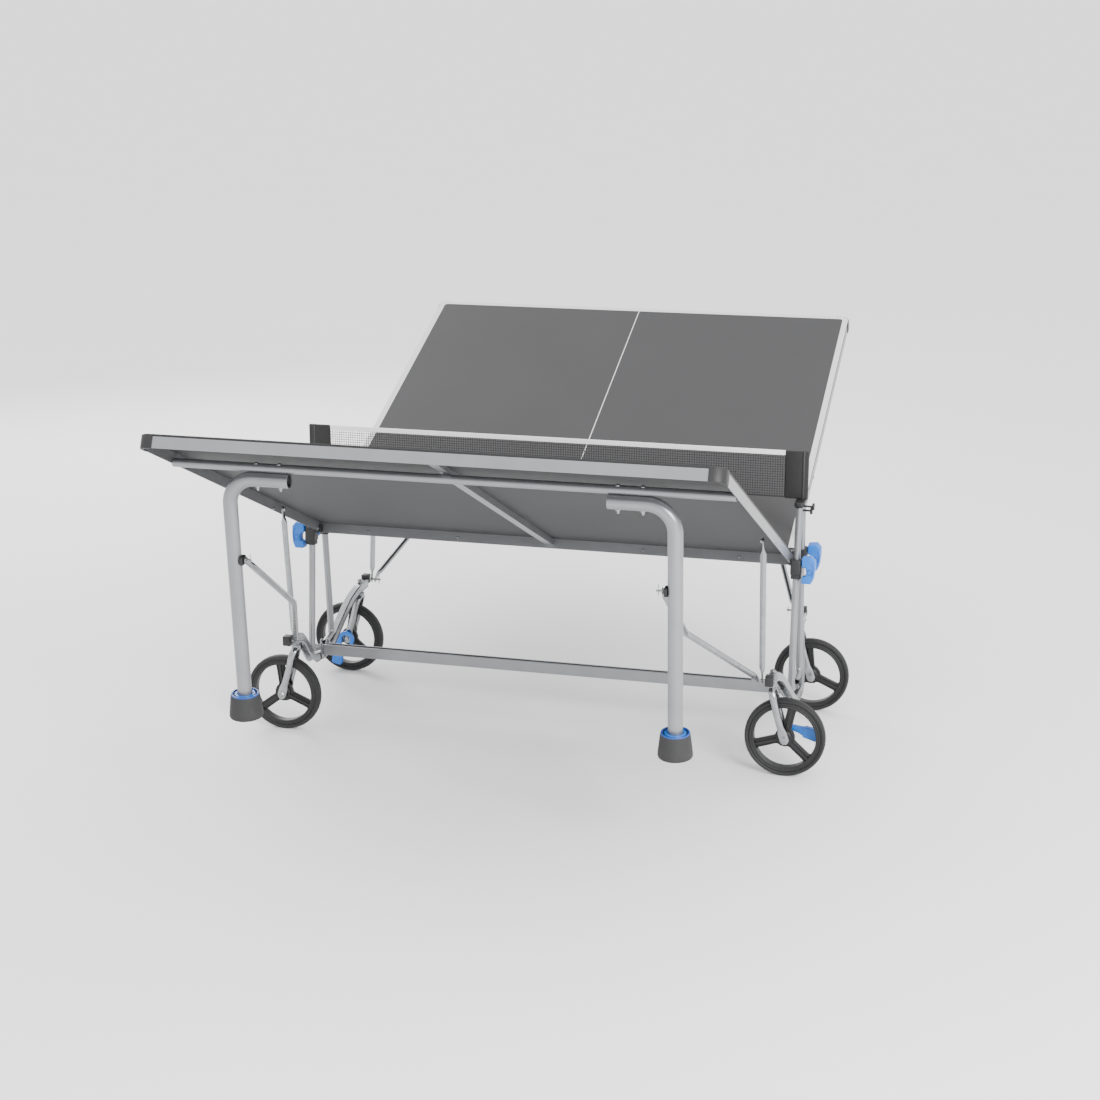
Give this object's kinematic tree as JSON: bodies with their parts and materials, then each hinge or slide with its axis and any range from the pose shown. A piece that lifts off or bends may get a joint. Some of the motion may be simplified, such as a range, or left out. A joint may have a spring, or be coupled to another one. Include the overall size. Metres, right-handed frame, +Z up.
{
  "type": "folding table tennis table",
  "caption": "Wheeled outdoor folding table tennis table with its halves part folded, net, curved legs, sliding fold blocks and swivel wheels.",
  "frame": {"origin": "on the floor, midway between the wheels, below the middle of the net", "axes": "+X along the net towards the right side, +Y along the playing direction towards the far end, +Z up"},
  "size_m": [1.83, 2.5863, 1.1575],
  "materials": {
    "top_laminate": "matte grey outdoor laminate",
    "silver_paint": "silver powder coat",
    "bar_steel": "satin silver",
    "zinc_steel": "zinc plated",
    "black_plastic": "moulded, fine grain",
    "blue_plastic": "moulded, satin",
    "foot_rubber": "matte",
    "wheel_plastic": "moulded",
    "net_cord": "woven net"
  },
  "bodies": {
    "chassis": {"far_left_arm": "zinc_steel", "far_left_post": "silver_paint", "far_right_arm": "zinc_steel", "far_right_post": "silver_paint", "left_net_clamp": "black_plastic", "left_net_post": "black_plastic", "lower_rail": "silver_paint", "near_left_arm": "zinc_steel", "near_left_post": "silver_paint", "near_right_arm": "zinc_steel", "near_right_post": "silver_paint", "net": "net_cord", "right_net_clamp": "black_plastic", "right_net_post": "black_plastic"},
    "near_slides": {"near_left_slide_block": "black_plastic", "near_right_slide_block": "black_plastic"},
    "near_half": {"near_playing_top": "top_laminate", "near_apron_frame": "silver_paint", "near_centre_brace": "silver_paint", "near_left_corner_cap": "black_plastic", "near_right_corner_cap": "black_plastic"},
    "near_legs": {"near_cross_tube": "silver_paint", "near_left_leg": "silver_paint", "near_right_leg": "silver_paint"},
    "near_left_link": {"near_left_link": "bar_steel"},
    "near_left_strut": {"near_left_strut": "bar_steel"},
    "near_left_handle": {"near_left_lock_handle": "blue_plastic"},
    "near_left_foot": {"near_left_foot": "foot_rubber"},
    "near_left_caster": {"near_left_fork": "zinc_steel"},
    "near_left_wheel": {"near_left_wheel": "wheel_plastic"},
    "near_right_link": {"near_right_link": "bar_steel"},
    "near_right_strut": {"near_right_strut": "bar_steel"},
    "near_right_handle": {"near_right_lock_handle": "blue_plastic"},
    "near_right_foot": {"near_right_foot": "foot_rubber"},
    "near_right_caster": {"near_right_fork": "zinc_steel"},
    "near_right_wheel": {"near_right_wheel": "wheel_plastic"},
    "near_right_brake": {"near_right_brake": "blue_plastic"},
    "far_slides": {"far_left_slide_block": "black_plastic", "far_right_slide_block": "black_plastic"},
    "far_half": {"far_playing_top": "top_laminate", "far_apron_frame": "silver_paint", "far_centre_brace": "silver_paint", "far_left_corner_cap": "black_plastic", "far_right_corner_cap": "black_plastic"},
    "far_legs": {"far_cross_tube": "silver_paint", "far_left_leg": "silver_paint", "far_right_leg": "silver_paint"},
    "far_left_link": {"far_left_link": "bar_steel"},
    "far_left_strut": {"far_left_strut": "bar_steel"},
    "far_left_handle": {"far_left_lock_handle": "blue_plastic"},
    "far_left_foot": {"far_left_foot": "foot_rubber"},
    "far_left_caster": {"far_left_fork": "zinc_steel"},
    "far_left_wheel": {"far_left_wheel": "wheel_plastic"},
    "far_left_brake": {"far_left_brake": "blue_plastic"},
    "far_right_link": {"far_right_link": "bar_steel"},
    "far_right_strut": {"far_right_strut": "bar_steel"},
    "far_right_handle": {"far_right_lock_handle": "blue_plastic"},
    "far_right_foot": {"far_right_foot": "foot_rubber"},
    "far_right_caster": {"far_right_fork": "zinc_steel"},
    "far_right_wheel": {"far_right_wheel": "wheel_plastic"}
  },
  "joints": [
    {"name": "near_slide", "type": "slide", "parent": "chassis", "child": "near_slides", "axis": [0, 0.0916, 0.9958], "range_m": [-0.33187, 0.13441]},
    {"name": "near_fold", "type": "hinge", "parent": "near_slides", "child": "near_half", "pos_m": [0, -0.06481, 0.59661], "axis": [-1, 0, 0], "range_deg": [-23.6, 58.4]},
    {"name": "near_legs_pivot", "type": "hinge", "parent": "near_half", "child": "near_legs", "pos_m": [0, -1.08186, 1.03876], "axis": [-1, 0, 0], "range_deg": [-43.9, 17.8]},
    {"name": "near_left_link_pivot", "type": "hinge", "parent": "chassis", "child": "near_left_link", "pos_m": [-0.73, -0.356, 0.313], "axis": [-1, 0, 0], "range_deg": [-11.19, 27.55]},
    {"name": "near_left_strut_pivot", "type": "hinge", "parent": "near_legs", "child": "near_left_strut", "pos_m": [-0.572, -1.06107, 0.77458], "axis": [-1, 0, 0], "range_deg": [-17.33, 42.73]},
    {"name": "near_left_lock", "type": "hinge", "parent": "near_slides", "child": "near_left_handle", "pos_m": [-0.8065, -0.06371, 0.60856], "axis": [0, 1, 0], "range_deg": [0, 25], "stiffness_Nm_per_rad": 0.6, "springref_deg": -5.73},
    {"name": "near_left_foot_screw", "type": "slide", "parent": "near_legs", "child": "near_left_foot", "axis": [0, 0.0785, -0.9969], "range_m": [0, 0.015]},
    {"name": "near_left_swivel", "type": "hinge", "parent": "chassis", "child": "near_left_caster", "pos_m": [-0.752, -0.295, 0.28], "axis": [0, 0, 1], "continuous": true},
    {"name": "near_left_roll", "type": "hinge", "parent": "near_left_caster", "child": "near_left_wheel", "pos_m": [-0.794, -0.295, 0.12104], "axis": [0, 1, 0], "continuous": true},
    {"name": "near_right_link_pivot", "type": "hinge", "parent": "chassis", "child": "near_right_link", "pos_m": [0.73, -0.356, 0.313], "axis": [-1, 0, 0], "range_deg": [-11.19, 27.55]},
    {"name": "near_right_strut_pivot", "type": "hinge", "parent": "near_legs", "child": "near_right_strut", "pos_m": [0.572, -1.06107, 0.77458], "axis": [-1, 0, 0], "range_deg": [-17.33, 42.73]},
    {"name": "near_right_lock", "type": "hinge", "parent": "near_slides", "child": "near_right_handle", "pos_m": [0.8065, -0.06371, 0.60856], "axis": [0, -1, 0], "range_deg": [0, 25], "stiffness_Nm_per_rad": 0.6, "springref_deg": -5.73},
    {"name": "near_right_foot_screw", "type": "slide", "parent": "near_legs", "child": "near_right_foot", "axis": [0, 0.0785, -0.9969], "range_m": [0, 0.015]},
    {"name": "near_right_swivel", "type": "hinge", "parent": "chassis", "child": "near_right_caster", "pos_m": [0.752, -0.295, 0.28], "axis": [0, 0, 1], "continuous": true},
    {"name": "near_right_roll", "type": "hinge", "parent": "near_right_caster", "child": "near_right_wheel", "pos_m": [0.794, -0.295, 0.12104], "axis": [0, 1, 0], "continuous": true},
    {"name": "near_right_brake_press", "type": "hinge", "parent": "near_right_caster", "child": "near_right_brake", "pos_m": [0.794, -0.295, 0.12104], "axis": [0, 1, 0], "range_deg": [0, 20]},
    {"name": "far_slide", "type": "slide", "parent": "chassis", "child": "far_slides", "axis": [0, -0.0916, 0.9958], "range_m": [-0.33867, 0.1276]},
    {"name": "far_fold", "type": "hinge", "parent": "far_slides", "child": "far_half", "pos_m": [0, 0.06419, 0.60339], "axis": [1, 0, 0], "range_deg": [-22.4, 59.6]},
    {"name": "far_legs_pivot", "type": "hinge", "parent": "far_half", "child": "far_legs", "pos_m": [0, 1.09027, 1.02415], "axis": [1, 0, 0], "range_deg": [-44.8, 16.9]},
    {"name": "far_left_link_pivot", "type": "hinge", "parent": "chassis", "child": "far_left_link", "pos_m": [-0.73, 0.356, 0.313], "axis": [1, 0, 0], "range_deg": [-10.63, 28.11]},
    {"name": "far_left_strut_pivot", "type": "hinge", "parent": "far_legs", "child": "far_left_strut", "pos_m": [-0.572, 1.06948, 0.75997], "axis": [1, 0, 0], "range_deg": [-16.45, 43.61]},
    {"name": "far_left_lock", "type": "hinge", "parent": "far_slides", "child": "far_left_handle", "pos_m": [-0.8065, 0.06309, 0.61534], "axis": [0, 1, 0], "range_deg": [0, 25], "stiffness_Nm_per_rad": 0.6, "springref_deg": -5.73},
    {"name": "far_left_foot_screw", "type": "slide", "parent": "far_legs", "child": "far_left_foot", "axis": [0, -0.0785, -0.9969], "range_m": [0, 0.015]},
    {"name": "far_left_swivel", "type": "hinge", "parent": "chassis", "child": "far_left_caster", "pos_m": [-0.752, 0.295, 0.28], "axis": [0, 0, 1], "continuous": true},
    {"name": "far_left_roll", "type": "hinge", "parent": "far_left_caster", "child": "far_left_wheel", "pos_m": [-0.794, 0.295, 0.12104], "axis": [0, 1, 0], "continuous": true},
    {"name": "far_left_brake_press", "type": "hinge", "parent": "far_left_caster", "child": "far_left_brake", "pos_m": [-0.794, 0.295, 0.12104], "axis": [0, -1, 0], "range_deg": [0, 20]},
    {"name": "far_right_link_pivot", "type": "hinge", "parent": "chassis", "child": "far_right_link", "pos_m": [0.73, 0.356, 0.313], "axis": [1, 0, 0], "range_deg": [-10.63, 28.11]},
    {"name": "far_right_strut_pivot", "type": "hinge", "parent": "far_legs", "child": "far_right_strut", "pos_m": [0.572, 1.06948, 0.75997], "axis": [1, 0, 0], "range_deg": [-16.45, 43.61]},
    {"name": "far_right_lock", "type": "hinge", "parent": "far_slides", "child": "far_right_handle", "pos_m": [0.8065, 0.06309, 0.61534], "axis": [0, -1, 0], "range_deg": [0, 25], "stiffness_Nm_per_rad": 0.6, "springref_deg": -5.73},
    {"name": "far_right_foot_screw", "type": "slide", "parent": "far_legs", "child": "far_right_foot", "axis": [0, -0.0785, -0.9969], "range_m": [0, 0.015]},
    {"name": "far_right_swivel", "type": "hinge", "parent": "chassis", "child": "far_right_caster", "pos_m": [0.752, 0.295, 0.28], "axis": [0, 0, 1], "continuous": true},
    {"name": "far_right_roll", "type": "hinge", "parent": "far_right_caster", "child": "far_right_wheel", "pos_m": [0.794, 0.295, 0.12104], "axis": [0, 1, 0], "continuous": true}
  ],
  "couplings": [
    {"joint": "near_slide", "follows": "near_fold", "m_per_rad": -0.3251},
    {"joint": "near_legs_pivot", "follows": "near_fold", "ratio": -0.75},
    {"joint": "near_left_link_pivot", "follows": "near_fold", "ratio": 0.47},
    {"joint": "near_left_strut_pivot", "follows": "near_fold", "ratio": 0.73},
    {"joint": "near_right_link_pivot", "follows": "near_fold", "ratio": 0.47},
    {"joint": "near_right_strut_pivot", "follows": "near_fold", "ratio": 0.73},
    {"joint": "far_slide", "follows": "far_fold", "m_per_rad": -0.3251},
    {"joint": "far_legs_pivot", "follows": "far_fold", "ratio": -0.75},
    {"joint": "far_left_link_pivot", "follows": "far_fold", "ratio": 0.47},
    {"joint": "far_left_strut_pivot", "follows": "far_fold", "ratio": 0.73},
    {"joint": "far_right_link_pivot", "follows": "far_fold", "ratio": 0.47},
    {"joint": "far_right_strut_pivot", "follows": "far_fold", "ratio": 0.73}
  ]
}
